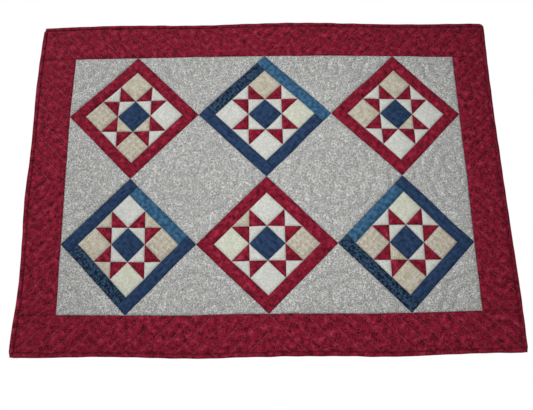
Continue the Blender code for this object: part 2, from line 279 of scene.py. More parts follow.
def drawn(u, v):
    """Plan points moved by the mean of the junctions' shifts, each weighted by a bell curve
    of its distance, and then by a small wobble."""
    weight, moved_u, moved_v = NO_WEIGHT, 0.0, 0.0
    for across, up, to_side, to_top in OUT_OF_TRUE:
        far = ((u - across * TIP / 2) ** 2 + (v - up * TIP / 2) ** 2) / DRAWN_REACH ** 2
        bell = np.exp(-far)
        weight = weight + bell
        moved_u = moved_u + bell * to_side * MILLIMETRE
        moved_v = moved_v + bell * to_top * MILLIMETRE
    wobble_u = WOBBLE * hills(u, v, WOBBLE_LENGTH, 21)
    wobble_v = WOBBLE * hills(u, v, WOBBLE_LENGTH, 22)
    return u + moved_u / weight + wobble_u, v + moved_v / weight + wobble_v


def in_space(u, v, thickness):
    """Places of plan points that stand out from the back of the cloth by a thickness."""
    x, z = hung(*drawn(u, v))
    return np.stack([x, off_wall(u, v) - thickness, z - TOP_Z], -1)


def nearest(u, v, paths, reach=FULL_PUFF_AT):
    """For plan points: distance to the nearest stitched path, the foot there, the way along."""
    away = np.full(u.shape, reach)
    foot = np.stack([u, v], -1)
    along = np.zeros(u.shape)
    for path in paths:
        low, high = path.min(0) - reach, path.max(0) + reach
        close = (u > low[0]) & (u < high[0]) & (v > low[1]) & (v < high[1])
        if not close.any():
            continue
        points = np.stack([u[close], v[close]], -1)[:, None]
        run = np.diff(path, axis=0)
        length = np.linalg.norm(run, axis=1)
        share = np.clip(((points - path[:-1]) * run).sum(-1) / length ** 2, 0, 1)
        feet = path[:-1] + share[..., None] * run
        distance = np.linalg.norm(points - feet, axis=-1)
        best = distance.argmin(1)
        row = np.arange(len(best))
        better = distance[row, best] < away[close]
        where = tuple(i[better] for i in np.nonzero(close))
        away[where] = distance[row, best][better]
        foot[where] = feet[row, best][better]
        along[where] = ((np.cumsum(length) - length)[best] + (share * length)[row, best])[better]
    return away, foot, along


PUCKER, PUCKER_LENGTH, PUCKER_REACH = 0.00022, 0.0078, 0.0045
PUCKER_STRAY, STRAY_LENGTH = 7, 0.03
SLACK, SLACK_LENGTH = 0.00035, 0.026
ROUNDNESS = 0.8


def risen(away):
    """How far the wadding has risen, 0 to 1, at a distance from a line: steep, then round."""
    return np.sin(np.pi / 2 * np.clip(away / FULL_PUFF_AT, 0, 1)) ** ROUNDNESS


def puckered(u, v, away, along):
    """Small creases square to the nearest line: a wave along it that strays at random, and
    that grows and dies away again beside the line."""
    grown = away / PUCKER_REACH * np.exp(1 - away / PUCKER_REACH)
    stray = PUCKER_STRAY * hills(u, v, STRAY_LENGTH, 3)
    return grown * np.sin(2 * np.pi * along / PUCKER_LENGTH + stray)


def puffed_top(u, v, away, along, seam):
    """Thickness of the quilted top: risen wadding, small creases, some slack, and an edge
    that rolls down into its seam as a bell curve."""
    slack = SLACK * hills(u, v, SLACK_LENGTH, 5) * risen(away)
    roll = SEAM_DIP * np.exp(-((seam / SEAM_ROLL) ** 2))
    puff = THIN + (PUFFED - THIN) * risen(away)
    return puff + PUCKER * puckered(u, v, away, along) + slack - roll


SIXTHS = 6


def steps_along(length, step=GRID_STEP):
    """Places of the grid lines along a side, even but for one more close to each end. Their
    cells go into six equal lots, so that a patch halved on its diagonal splits evenly."""
    count = round(length / step / SIXTHS) * SIXTHS - 2
    places = SEAM_ROLL + (length - 2 * SEAM_ROLL) * np.arange(count + 1) / count
    return np.concatenate([[0.0], places, [length]])


SNAP = 0.34
NEAR_STITCH = 0.0022
PLACE_IN_CLOTH = np.random.default_rng(8)


def patch(corner, way, across, up, cloth=0, stitched=(), halved=False, step=GRID_STEP,
          surface=puffed_top, under=UNDER, coarse=4, grain=0.0, behind=False):
    """One cut of cloth: a grid from a corner, a way and the places of its grid lines.

    Its face follows the surface over the stitched paths and its own outline, the rim goes
    down into the seam, and the flat underside has only as many faces as it needs. A halved
    patch is the triangle under the diagonal. Each cell of the grid is split along whichever
    diagonal has its ends nearer to a line.
    """
    way = np.array(way, float)
    side = np.array([-way[1], way[0]])
    n, m = len(across) - 1, len(up) - 1
    i, j = np.meshgrid(np.arange(n + 1), np.arange(m + 1), indexing="ij")
    used = i + j <= n if halved else np.ones(i.shape, bool)
    on_rim = (i == 0) | (j == 0) | ((i + j == n) if halved else (i == n) | (j == m))

    # Half the gap of a seam is left on each side of it
    lost = GAP / 2 * (2 + math.sqrt(2) if halved else 2)
    across = GAP / 2 + across * (1 - lost / across[-1])
    up = GAP / 2 + up * (1 - lost / up[-1])
    flat = np.array(corner) + across[:, None, None] * way + up[None, :, None] * side
    ends = [(0, 0), (n, 0), (0, m)] if halved else [(0, 0), (n, 0), (n, m), (0, m)]
    outline = np.array([flat[k] for k in ends + ends[:1]])

    # Points close to a stitched path are drawn onto it, so that its groove stays sharp
    u, v = flat[..., 0].copy(), flat[..., 1].copy()
    seam, _, along = nearest(u, v, [outline])
    away = seam
    if len(stitched):
        line, foot, way_along = nearest(u, v, stitched)
        drawn_in = (line < SNAP * step) & (seam > step) & used
        u[drawn_in], v[drawn_in] = foot[drawn_in].T
        line[drawn_in] = 0
        away, along = np.minimum(line, seam), np.where(line < seam, way_along, along)
    face = in_space(u, v, surface(u, v, away, along, seam))

    number = np.full(i.shape, -1)
    number[used] = np.arange(used.sum())
    a, b = np.nonzero((i < n) & (j < m) & ((i + j < n - 1) if halved else True))
    four = number[a, b], number[a + 1, b], number[a + 1, b + 1], number[a, b + 1]
    along_first = away[a, b] + away[a + 1, b + 1] < away[a + 1, b] + away[a, b + 1]
    first = [four[0], four[1], np.where(along_first, four[2], four[3])]
    second = [np.where(along_first, four[0], four[1]), four[2], four[3]]
    faces = np.stack(first, -1).tolist() + np.stack(second, -1).tolist()
    if halved:
        a = np.arange(n)
        last = [number[a, n - 1 - a], number[a + 1, n - 1 - a], number[a, n - a]]
        faces += np.stack(last, -1).tolist()

    # The underside: whole squares inside, and every point of the rim along the outside
    stops_a = np.linspace(0, n, coarse + 1).round().astype(int)
    stops_b = np.linspace(0, m, max(1, round(coarse * m / n)) + 1).round().astype(int)
    kept = used & (on_rim | (np.isin(i, stops_a) & np.isin(j, stops_b)))
    below = np.full(i.shape, -1)
    below[kept] = used.sum() + np.arange(kept.sum())
    for a0, a1 in zip(stops_a, stops_a[1:]):
        for b0, b1 in zip(stops_b, stops_b[1:]):
            if halved and a0 + b0 >= n:
                continue
            ring = [(k, b0) for k in (range(a0, a1) if b0 == 0 else (a0,))]
            if halved and a0 + b0 < n < a1 + b1:
                ring += [(a1 - k, b0 + k) for k in range(a1 - a0)]
            else:
                ring += [(a1, k) for k in (range(b0, b1) if a1 == n else (b0,))]
                ring += [(k, b1) for k in (range(a1, a0, -1) if b1 == m else (a1,))]
            ring += [(a0, k) for k in (range(b1, b0, -1) if a0 == 0 else (b1,))]
            faces.append([int(below[k]) for k in reversed(ring)])

    # The rim: down from the face to the underside, all the way round
    loop = [(k, 0) for k in range(n)]
    loop += [(n - k, k) for k in range(n)] if halved else [(n, k) for k in range(m)]
    loop += [] if halved else [(k, m) for k in range(n, 0, -1)]
    loop += [(0, k) for k in range(m, 0, -1)]
    rim_a, rim_b = np.array(loop).T
    top, low = number[rim_a, rim_b], below[rim_a, rim_b]
    faces += np.stack([top, low, np.roll(low, -1), np.roll(top, -1)], -1).tolist()
    if behind:
        faces = [face[::-1] for face in faces]

    near = np.exp(-((away / NEAR_STITCH) ** 2))
    turned = np.array([[math.cos(grain), -math.sin(grain)], [math.sin(grain), math.cos(grain)]])
    cut_at = PLACE_IN_CLOTH.uniform(0, 1, 2)
    threads = np.stack([across[i], up[j]], -1) @ turned + cut_at
    return {
        "points": np.concatenate([face[used], in_space(u, v, under + 0 * u)[kept]]),
        "faces": faces,
        "threads": np.concatenate([threads[used], threads[kept]]),
        "near": np.concatenate([near[used], near[kept]]),
        "cloth": cloth,
    }


def sewn(name, patches, cloths, body="root"):
    """Patches joined into one object, with its cloths, its thread map and its stitch mask."""
    starts = np.cumsum([0] + [len(p["points"]) for p in patches])
    faces = [[k + s for k in face] for p, s in zip(patches, starts.tolist()) for face in p["faces"]]
    mesh = bpy.data.meshes.new(name)
    mesh.from_pydata(np.concatenate([p["points"] for p in patches]).tolist(), [], faces)
    for cloth in cloths:
        mesh.materials.append(cloth)
    mesh.polygons.foreach_set("material_index", [p["cloth"] for p in patches for _ in p["faces"]])
    corner_point = np.empty(len(mesh.loops), int)
    mesh.loops.foreach_get("vertex_index", corner_point)
    threads = np.concatenate([p["threads"] for p in patches])
    mesh.uv_layers.new(name="threads").data.foreach_set("uv", threads[corner_point].ravel())
    near = mesh.attributes.new("near_stitch", "FLOAT", "POINT")
    near.data.foreach_set("value", np.concatenate([p["near"] for p in patches]))
    mesh.shade_smooth()
    made = bpy.data.objects.new(name, mesh)
    bpy.context.scene.collection.objects.link(made)
    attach(made, body)
    return made


DYE = 1.42


def dye(*graded):
    """The light that a cloth reflects, for a colour as the eye grades it, 0 to 255: the colour
    made linear, and lighter by what the lamps leave dark."""
    graded = np.array(graded) / 255
    linear = np.where(graded > 0.04045, ((graded + 0.055) / 1.055) ** 2.4, graded / 12.92)
    return (*(float(part) for part in np.minimum(linear * DYE, 1)), 1.0)


def new_group(name, inputs, outputs):
    """An empty node group with named inputs, as (name, kind, value), and named outputs."""
    tree = bpy.data.node_groups.new(name, "ShaderNodeTree")
    for label, kind, value in inputs:
        kind = "NodeSocket" + kind
        socket = tree.interface.new_socket(label, in_out="INPUT", socket_type=kind)
        if value is not None:
            socket.default_value = value
    for label, kind in outputs:
        tree.interface.new_socket(label, in_out="OUTPUT", socket_type="NodeSocket" + kind)
    return tree, add(tree, "NodeGroupInput").outputs


def use(tree, group, **inputs):
    """A group placed in a material or in another group, its inputs given by name."""
    node = tree.nodes.new("ShaderNodeGroup")
    node.node_tree = group
    for label, value in inputs.items():
        feed(tree, node.inputs[label.replace("_", " ")], value)
    return node.outputs


def math_node(tree, operation, *inputs):
    """The value that one kind of sum gives for its inputs."""
    return add(tree, "ShaderNodeMath", *inputs, operation=operation).outputs[0]


def vector_node(tree, operation, *inputs):
    """The vector that one kind of sum gives for its inputs."""
    return add(tree, "ShaderNodeVectorMath", *inputs, operation=operation).outputs[0]


def scaled(tree, vector, times):
    """A vector made so many times as long."""
    return vector_node(tree, "SCALE", vector, None, None, times)


def blended(tree, share, one, two):
    """One colour turning to another as the share goes from 0 to 1."""
    node = add(tree, "ShaderNodeMix", data_type="RGBA")
    for label, value in (("Factor_Float", share), ("A_Color", one), ("B_Color", two)):
        feed(tree, next(s for s in node.inputs if s.identifier == label), value)
    return next(s for s in node.outputs if s.identifier == "Result_Color")


def plain_noise(tree, vector, detail=2.0, distortion=0.0):
    """Noise whose features are about 1 wide along the vector."""
    noise = add(tree, "ShaderNodeTexNoise", vector)
    noise.inputs["Scale"].default_value = 1.0
    noise.inputs["Detail"].default_value = detail
    noise.inputs["Distortion"].default_value = distortion
    return noise.outputs[0]


def stretched_noise(tree, vector, across, up, detail=2.0, distortion=0.0):
    """Noise whose features are about so wide across the threads and so tall up them."""
    stretched = vector_node(tree, "MULTIPLY", vector, (1 / across, 1 / up, 1.0))
    return plain_noise(tree, stretched, detail, distortion)


def between(tree, value, low, high):
    """0 below the low value, 1 above the high one, and smooth between them."""
    node = add(tree, "ShaderNodeMapRange", value, low, high, interpolation_type="SMOOTHSTEP")
    return node.outputs[0]


# Weave: yarns pass over and under each other, and each is a little thicker here and there
YARN_PITCH, YARN_CONTRAST = 0.00040, 0.25
SLUB_LONG, SLUB_WIDE = 60.0, 1.3
OVER_AND_UNDER = 0.35
weave, given = new_group(
    "plain weave",
    [("Threads", "Vector", None), ("Pitch", "Float", YARN_PITCH)],
    [("Height", "Float"), ("Yarn", "Float")],
)
yarns_a_metre = math_node(weave, "DIVIDE", 1.0, given["Pitch"])
counted = scaled(weave, given["Threads"], yarns_a_metre)
parts = add(weave, "ShaderNodeSeparateXYZ", counted).outputs
waves = [math_node(weave, "SINE", math_node(weave, "MULTIPLY", part, math.pi)) for part in parts[:2]]
over = math_node(weave, "MULTIPLY", *waves)
slub_across = stretched_noise(weave, counted, SLUB_LONG, SLUB_WIDE, 1.0)
slub_up = stretched_noise(weave, counted, SLUB_WIDE, SLUB_LONG, 1.0)
yarn = math_node(weave, "MULTIPLY", math_node(weave, "ADD", slub_across, slub_up), 0.5)
height = math_node(weave, "MULTIPLY_ADD", over, OVER_AND_UNDER, yarn)
add(weave, "NodeGroupOutput", height, yarn)

# Finish of a quilted cloth: yarns that differ in shade, some fading, and creases along the
# stitched lines where the cloth is drawn together. Near each stitched line and seam the colour
# is darkened by painted shade with some soil
FADE_SIZE, FADE, UNFADED = 0.06, 0.12, 0.94
SEAM_SHADE_AND_SOIL = -0.14
YARN_ROUGH, LEAST_ROUGH = 0.15, 0.78
CREASE_SIZE, CREASE_DEPTH, STITCH_CREASE_DEPTH = 0.009, 0.00022, 0.00026
WEAVE_DEPTH = 0.00005
finish, given = new_group(
    "quilted cotton",
    [("Colour", "Color", (0.5, 0.5, 0.5, 1)), ("Threads", "Vector", None),
     ("Pitch", "Float", YARN_PITCH), ("Near Stitch", "Float", 0.0),
     ("Yarn Contrast", "Float", YARN_CONTRAST)],
    [("Colour", "Color"), ("Roughness", "Float"), ("Height", "Float")],
)
woven = use(finish, weave, Threads=given["Threads"], Pitch=given["Pitch"])
faded = stretched_noise(finish, given["Threads"], FADE_SIZE, FADE_SIZE)
fade = math_node(finish, "MULTIPLY_ADD", faded, FADE, UNFADED)
shade = math_node(finish, "SUBTRACT", woven["Yarn"], 0.5)
shade = math_node(finish, "MULTIPLY_ADD", shade, given["Yarn Contrast"], fade)
# Painted shade, with some soil: the colour darkens near each stitched line and seam
painted_shade = math_node(finish, "MULTIPLY_ADD", given["Near Stitch"], SEAM_SHADE_AND_SOIL, 1.0)
shade = math_node(finish, "MULTIPLY", shade, painted_shade)
shaded = scaled(finish, given["Colour"], shade)
rough = math_node(finish, "MULTIPLY_ADD", woven["Yarn"], YARN_ROUGH, LEAST_ROUGH)
creases = stretched_noise(finish, given["Threads"], CREASE_SIZE, CREASE_SIZE, 3.0, 0.6)
depth = math_node(finish, "MULTIPLY_ADD", given["Near Stitch"], STITCH_CREASE_DEPTH, CREASE_DEPTH)
height = math_node(finish, "MULTIPLY", creases, depth)
height = math_node(finish, "MULTIPLY_ADD", woven["Height"], WEAVE_DEPTH, height)
add(finish, "NodeGroupOutput", shaded, rough, height)

# Strokes: a tone-on-tone print of fine dry brush lines along and across the threads
strokes, given = new_group(
    "brushed strokes",
    [("Threads", "Vector", None), ("Length", "Float", 0.02), ("Width", "Float", 0.002)],
    [("Mask", "Float")],
)
shares = [math_node(strokes, "DIVIDE", 1.0, given[label]) for label in ("Length", "Width")]
layers = []
for one, two in (shares, shares[::-1]):
    scale = add(strokes, "ShaderNodeCombineXYZ", one, two, 1.0).outputs[0]
    layers.append(plain_noise(strokes, vector_node(strokes, "MULTIPLY", given["Threads"], scale)))
both = math_node(strokes, "ADD", *layers)
add(strokes, "NodeGroupOutput", math_node(strokes, "MULTIPLY", both, 0.5))

# Swirls: thin winding lines where a distorted noise crosses its middle value
swirls, given = new_group(
    "winding lines",
    [("Threads", "Vector", None), ("Size", "Float", 0.006), ("Line", "Float", 0.03)],
    [("Mask", "Float")],
)
sized = scaled(swirls, given["Threads"], math_node(swirls, "DIVIDE", 1.0, given["Size"]))
winding = plain_noise(swirls, sized, 1.0, 1.4)
off_middle = math_node(swirls, "ABSOLUTE", math_node(swirls, "SUBTRACT", winding, 0.5))
thin = math_node(swirls, "DIVIDE", off_middle, given["Line"])
add(swirls, "NodeGroupOutput", math_node(swirls, "SUBTRACT", 1.0, between(swirls, thin, 0.5, 1.5)))


def blank_material(name):
    """A new material, its tree, its shader and the places of its threads."""
    material = bpy.data.materials.new(name)
    material.use_nodes = True
    tree = material.node_tree
    threads = add(tree, "ShaderNodeUVMap", uv_map="threads").outputs[0]
    return material, tree, tree.nodes["Principled BSDF"], threads


def raise_surface(tree, shader, height, distance):
    """The shader's surface raised by a height, times a distance."""
    bump = add(tree, "ShaderNodeBump")
    bump.inputs["Distance"].default_value = distance
    tree.links.new(height, bump.inputs["Height"])
    tree.links.new(bump.outputs[0], shader.inputs["Normal"])


def cotton(name, print_on):
    """A quilting cotton, with the printed colour that a function gives for its threads."""
    material, tree, shader, threads = blank_material(name)
    near = add(tree, "ShaderNodeAttribute", attribute_name="near_stitch").outputs["Fac"]
    colour = print_on(tree, threads)
    made = use(tree, finish, Colour=colour, Threads=threads, Pitch=YARN_PITCH, Near_Stitch=near,
               Yarn_Contrast=YARN_CONTRAST)
    tree.links.new(made["Colour"], shader.inputs["Base Color"])
    tree.links.new(made["Roughness"], shader.inputs["Roughness"])
    raise_surface(tree, shader, made["Height"], 1.0)
    shader.inputs["Specular IOR Level"].default_value = 0.10
    shader.inputs["Sheen Weight"].default_value = 0.04
    shader.inputs["Sheen Roughness"].default_value = 0.5
    return material


def red_print(tree, threads):
    """Crimson with fine darker and brighter strokes over soft clouds, pinker here and there."""
    mask = use(tree, strokes, Threads=threads, Length=0.011, Width=0.0013)["Mask"]
    clouds = stretched_noise(tree, threads, 0.012, 0.012, 2.0)
    clouds = math_node(tree, "SUBTRACT", clouds, 0.5)
    mask = math_node(tree, "MULTIPLY_ADD", clouds, 0.34, mask)
    mask_edge = between(tree, mask, 0.34, 0.66)
    ground = blended(tree, mask_edge, dye(58, 4, 19), dye(159, 34, 58))
    pinker = stretched_noise(tree, threads, 0.012, 0.012, 4.0, 0.3)
    pinker = math_node(tree, "MULTIPLY", between(tree, pinker, 0.55, 0.80), mask)
    return blended(tree, pinker, ground, dye(172, 66, 100))


def navy_print(tree, threads):
    """Plain navy whose fine cross yarns are a shade lighter."""
    lines = stretched_noise(tree, threads, 0.024, 0.0011, 1.0)
    clouds = stretched_noise(tree, threads, 0.008, 0.008, 3.0)
    mask = math_node(tree, "MULTIPLY_ADD", math_node(tree, "SUBTRACT", clouds, 0.5), 0.9, lines)
    return blended(tree, between(tree, mask, 0.25, 0.80), dye(23, 39, 66), dye(50, 73, 106))


def white_print(tree, threads):
    """Off-white with a white print so faint that it only just shows."""
    mask = use(tree, swirls, Threads=threads, Size=0.008, Line=0.05)["Mask"]
    return blended(tree, mask, dye(190, 191, 184), dye(209, 210, 205))


def tan_print(tree, threads):
    """Warm tan clouds under pale winding lines."""
    clouds = stretched_noise(tree, threads, 0.014, 0.014, 2.0)
    clouds = between(tree, clouds, 0.35, 0.65)
    ground = blended(tree, clouds, dye(168, 157, 136), dye(187, 180, 165))
    mask = use(tree, swirls, Threads=threads, Size=0.0065, Line=0.03)["Mask"]
    return blended(tree, mask, ground, dye(207, 202, 188))


PLAID_REPEAT = 0.0125


def plaid_print(tree, threads):
    """Cloudy tan crossed by pale soft bands, with a small dark dot in a pale ring on each
    crossing: a ring's mask comes from the distance to the middle of its square."""
    square = vector_node(tree, "FRACTION", scaled(tree, threads, 1 / PLAID_REPEAT))
    square = vector_node(tree, "SUBTRACT", square, (0.5, 0.5, 0.0))
    off = add(tree, "ShaderNodeSeparateXYZ", square).outputs
    from_dot = add(tree, "ShaderNodeVectorMath", square, operation="LENGTH").outputs["Value"]
    from_band = math_node(tree, "MINIMUM", *(math_node(tree, "ABSOLUTE", part) for part in off[:2]))
    clouds = stretched_noise(tree, threads, 0.006, 0.006, 3.0)
    broken = between(tree, clouds, 0.40, 0.60)
    ground = blended(tree, broken, dye(168, 158, 139), dye(185, 178, 164))
    band = math_node(tree, "SUBTRACT", 1.0, between(tree, from_band, 0.02, 0.16))
    band = math_node(tree, "MULTIPLY", band, math_node(tree, "MULTIPLY", broken, 0.7))
    banded = blended(tree, band, ground, dye(203, 199, 188))
    off_ring = math_node(tree, "ABSOLUTE", math_node(tree, "SUBTRACT", from_dot, 0.15))
    ring = math_node(tree, "SUBTRACT", 0.8, between(tree, off_ring, 0.02, 0.07))
    ringed = blended(tree, ring, banded, dye(210, 207, 199))
    dot = math_node(tree, "SUBTRACT", 0.8, between(tree, from_dot, 0.05, 0.10))
    return blended(tree, dot, ringed, dye(128, 112, 96))


def cream_print(tree, threads):
    """Pale greenish cream with wide and faint winding lines."""
    mask = use(tree, swirls, Threads=threads, Size=0.012, Line=0.06)["Mask"]
    return blended(tree, mask, dye(190, 191, 172), dye(204, 206, 193))


red = cotton("red cotton", red_print)
navy = cotton("navy cotton", navy_print)
white_cotton = cotton("off-white cotton", white_print)
tan = cotton("tan cotton", tan_print)
plaid = cotton("tan plaid cotton", plaid_print)
cream = cotton("cream cotton", cream_print)
STAR_CLOTHS = {"R": red, "N": navy, "W": white_cotton, "T": tan, "P": plaid, "C": cream}

BLOCKS = (
    # name, place across and up, the pair of long strips, cloths of the frame NE, NW, SW, SE,
    # and of the star: squares N, E, S, W, outer and inner triangles NE, NW, SW, SE
    ("block_1", -1, 1, "ne_sw", ("red", "red", "red", "red"), "TWPP", "WWWW", "WWTT"),
    ("block_2", 0, 1, "ne_sw", ("teal", "spotted", "navy", "navy"), "TCWW", "WWWW", "WWWW"),
    ("block_3", 1, 1, "ne_sw", ("red", "red", "red", "red"), "TWWT", "WWWW", "WWWT"),
    ("block_4", -1, -1, "nw_se", ("teal", "navy", "spotted", "navy"), "WPCT", "TTTW", "WWWW"),
    ("block_5", 0, -1, "ne_sw", ("red", "red", "red", "red"), "WPWC", "WTWW", "WWWW"),
    ("block_6", 1, -1, "ne_sw", ("navy", "teal", "spotted", "navy"), "CPTP", "WWWW", "WWTW"),
)
CORNER_SQUARES = ((1, 1), (1, -1), (-1, -1), (-1, 1))
SIDE_SQUARES = ((1, 0), (0, 1), (-1, 0), (0, -1))
UPRIGHT = np.array([1.0, 1.0]) / math.sqrt(2)


def way_at(turn):
    """The way that a turn from U towards V points."""
    return np.array([math.cos(turn), math.sin(turn)])


def middle_of(across, up):
    """The middle of a block."""
    return np.array([across * TIP, up * TIP / 2])


def in_block(centre, a, b):
    """A plan point in a block, with A to the upper right and B to the upper left."""
    return np.array(centre) + np.array([a - b, a + b]) / math.sqrt(2)


square_steps = steps_along(SQUARE)
leg_steps = steps_along(SQUARE / math.sqrt(2))

for name, across, up, _, _, squares, outer, inner in BLOCKS:
    centre = middle_of(across, up)
    cloths = list(STAR_CLOTHS)
    patches = []
    for a, b in product((-1, 0, 1), repeat=2):
        if (a == 0) == (b == 0):
            low = in_block(centre, (a - 0.5) * SQUARE, (b - 0.5) * SQUARE)
            cloth = squares[CORNER_SQUARES.index((a, b))] if a else "N"
            grain = PLACE_IN_CLOTH.integers(4) * math.pi / 2
            patches.append(patch(low, UPRIGHT, square_steps, square_steps, cloths.index(cloth),
                                 grain=grain))
            continue
        middle, outward = in_block(centre, a * SQUARE, b * SQUARE), in_block((0, 0), a, b)
        for turn in range(4):
            way = way_at(turn * math.pi / 2)
            facing = in_block((0, 0), *way) @ outward
            cloth = "R"
            if abs(facing) > 0.5:
                cloth = (outer if facing > 0 else inner)[SIDE_SQUARES.index((a, b))]
            patches.append(patch(middle, way, leg_steps, leg_steps, cloths.index(cloth),
                                 halved=True, coarse=2))
    star = sewn(f"{name}_star_patches", patches, STAR_CLOTHS.values())
    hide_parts(f"{name}_star")

# Frames: four strips of cloth an inch wide, sewn round each star. Two opposite ones were
# sewn on first and are as long as the star, and the other two run the block's full length.


def teal_print(tree, threads):
    """Teal in light and dark clouds."""
    clouds = stretched_noise(tree, threads, 0.008, 0.008, 3.0)
    clouds = between(tree, clouds, 0.32, 0.68)
    return blended(tree, clouds, dye(32, 70, 100), dye(67, 107, 137))


def spotted_print(tree, threads):
    """Navy leaves and specks left between almost black blots."""
    blots = stretched_noise(tree, threads, 0.0055, 0.0055, 2.0, 0.8)
    specks = stretched_noise(tree, threads, 0.003, 0.003, 1.0)
    specks = between(tree, specks, 0.4, 0.62)
    ground = blended(tree, specks, dye(38, 60, 84), dye(58, 84, 108))
    return blended(tree, between(tree, blots, 0.44, 0.54), dye(16, 28, 46), ground)


FRAME_CLOTHS = {
    "red": red,
    "navy": navy,
    "teal": cotton("teal cotton", teal_print),
    "spotted": cotton("spotted navy cotton", spotted_print),
}
FRAME_TURNS = (("ne", 1, 0), ("nw", 0, 1), ("sw", -1, 0), ("se", 0, -1))
strip_steps = steps_along(STRIP)

for name, across, up, long_pair, cloths, *_ in BLOCKS:
    centre = middle_of(across, up)
    for (side, to_a, to_b), cloth in zip(FRAME_TURNS, cloths):
        reach = BLOCK / 2 if side in long_pair else STAR / 2
        low_a = -reach if to_b else min(to_a * STAR / 2, to_a * BLOCK / 2)
        low_b = -reach if to_a else min(to_b * STAR / 2, to_b * BLOCK / 2)
        long_steps = steps_along(2 * reach)
        sides = (strip_steps, long_steps) if to_a else (long_steps, strip_steps)
        low = in_block(centre, low_a, low_b)
        strip = sewn(
            f"{name}_frame_{side}_strip",
            [patch(low, UPRIGHT, *sides, coarse=1 if to_a else 8, grain=math.pi / 2 if to_a else 0)],
            [FRAME_CLOTHS[cloth]],
        )
        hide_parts(f"{name}_frame_{side}")

# Grey cloth: squares on point between the blocks, halves of them along the borders and
# quarters in the corners. A petalled flower in two scalloped rings is quilted on each.
PETALS = 8
PETAL_LENGTH, PETAL_CURL = 0.050, math.radians(13)
RING_RADII, SCALLOP = (0.053, 0.077), 0.0075
TIP_ARC = 0.029
SMOOTH_STEP = 0.0025
PEBBLE = 0.0040


def grey_print(tree, threads):
    """Grey all over pale winding lines: the borders of small random cells whose places are
    shaken by noise, and some loose squiggles."""
    shake = add(tree, "ShaderNodeTexNoise", threads)
    shake.inputs["Scale"].default_value = 1.3 / PEBBLE
    shake.inputs["Detail"].default_value = 0.0
    shift = vector_node(tree, "MULTIPLY", shake.outputs["Color"], (1.5 * PEBBLE, 1.5 * PEBBLE, 0))
    shaken = vector_node(tree, "ADD", threads, shift)
    cells = add(tree, "ShaderNodeTexVoronoi", shaken, feature="DISTANCE_TO_EDGE")
    cells.inputs["Scale"].default_value = 1 / PEBBLE
    edges = math_node(tree, "SUBTRACT", 1.0, between(tree, cells.outputs["Distance"], 0.03, 0.12))
    loose = use(tree, swirls, Threads=threads, Size=0.0040, Line=0.030)["Mask"]
    clouds = stretched_noise(tree, threads, 0.05, 0.05, 1.0)
    ground = blended(tree, clouds, dye(133, 134, 135), dye(138, 137, 135))
    lined = blended(tree, math_node(tree, "MULTIPLY", loose, 0.3), ground, dye(203, 203, 199))
    return blended(tree, edges, lined, dye(205, 205, 201))


grey = cotton("grey print cotton", grey_print)


def polar_path(centre, radius, angle):
    """A stitched path from its distances and angles round a centre."""
    return np.array(centre) + np.stack([radius * np.cos(angle), radius * np.sin(angle)], -1)


def flower(centre):
    """Curled spokes that part the petals, then two scalloped rings, each of eight humps."""
    share = np.linspace(0, 1, round(PETAL_LENGTH / SMOOTH_STEP))
    spokes = 2 * math.pi * (np.arange(PETALS) + 0.5) / PETALS
    paths = [
        polar_path(centre, PETAL_LENGTH * share, spoke + PETAL_CURL * np.sin(math.pi * share))
        for spoke in spokes
    ]
    for radius in RING_RADII:
        steps = round(2 * math.pi * radius / SMOOTH_STEP / PETALS) * PETALS
        turn = np.linspace(0, 2 * math.pi, steps + 1)
        paths.append(polar_path(centre, radius + SCALLOP * abs(np.cos(PETALS / 2 * turn)), turn))
    return paths


def arc_round(tip):
    """A stitched circle round a tip, of which each grey piece shows a part."""
    turn = np.linspace(0, 2 * math.pi, round(2 * math.pi * TIP_ARC / SMOOTH_STEP))
    return polar_path(tip, TIP_ARC, turn)


GREY_PIECES = (
    # name, middle of its flower in half blocks, way of its first side in eighths of a turn
    ("grey_square_left", (-1, 0), 1),
    ("grey_square_right", (1, 0), 1),
    ("grey_top_left", (-1, 2), 1),
    ("grey_top_right", (1, 2), 1),
    ("grey_bottom_left", (-1, -2), 5),
    ("grey_bottom_right", (1, -2), 5),
    ("grey_left", (-3, 0), 3),
    ("grey_right", (3, 0), 7),
    ("grey_corner_top_left", (-3, 2), 6),
    ("grey_corner_top_right", (3, 2), 4),
    ("grey_corner_bottom_left", (-3, -2), 0),
    ("grey_corner_bottom_right", (3, -2), 2),
)
grey_lines = []

for name, place, eighths in GREY_PIECES:
    centre = np.array(place) * TIP / 2
    way = way_at(eighths * math.pi / 4)
    side = np.array([-way[1], way[0]])
    quarter, square = "corner" in name, "square" in name
    length = TIP / 2 if quarter else BLOCK
    corner = centre if quarter else centre - (way + side) * BLOCK / 2
    if not (quarter or square):
        corner = centre - (way + side) / math.sqrt(2) * TIP / 2
    paths = flower(centre)
    paths += [arc_round(centre + TIP / 2 * way_at(turn * math.pi / 2)) for turn in range(4)]
    steps = steps_along(length)
    piece = sewn(name + "_cloth", [patch(corner, way, steps, steps, stitched=paths,
                                         halved=not square, coarse=6)], [grey])
    grey_lines.append((centre, paths))
    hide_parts(name)
    if quarter:
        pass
    elif square:
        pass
    else:
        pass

# Borders: four strips of the red cloth, the sides sewn on first and the top and bottom
# across their ends, all quilted in straight slanted lines that fan out of the middle.
BORDER_STEP = TIP / 8
SHORTEST_LINE = 0.006
CELLS_A_STEP = 16
CLEAR_OF_END = 0.4
cell = BORDER_STEP / CELLS_A_STEP


def even_cells(low, high):
    """Grid lines at whole cells from the middle of the cloth, with both ends and one more
    close to each."""
    first, last = math.ceil(low / cell + CLEAR_OF_END), math.floor(high / cell - CLEAR_OF_END)
    whole = np.arange(first, last + 1) * cell
    return np.concatenate([[low, low + SEAM_ROLL], whole, [high - SEAM_ROLL, high]]) - low


def on_side(side_u, side_v, along, across):
    """U and V of places along one side of the cloth, and out across it from the middle."""
    return (along, side_v * across) if side_v else (side_u * across, along)


